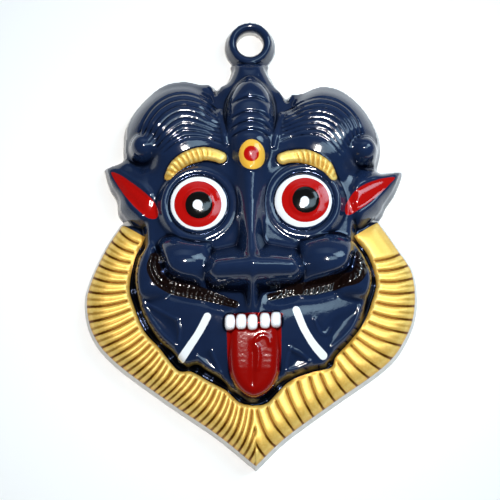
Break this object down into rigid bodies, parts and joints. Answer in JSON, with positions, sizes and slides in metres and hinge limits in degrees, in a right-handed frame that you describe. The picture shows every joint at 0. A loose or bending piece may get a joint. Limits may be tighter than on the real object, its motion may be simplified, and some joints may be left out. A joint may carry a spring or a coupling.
{
  "type": "painted metal deity mask",
  "caption": "Cast metal wall mask of a fierce guardian deity, painted deep blue, with horn-like hair lobes, ribbed gold ruff, tongue out and a hanging loop.",
  "frame": {"origin": "middle of the bounding box at the plane of the flat back rim, which is the surface the mask lies on", "axes": "+Z out of the face, +Y towards the hanging loop at the top of the mask, +X to the viewer's right"},
  "size_m": [0.1202, 0.165, 0.0334],
  "materials": {
    "blue_paint": "glossy enamel paint on cast metal"
  },
  "bodies": {
    "root": {"mask": "blue_paint"}
  },
  "joints": []
}
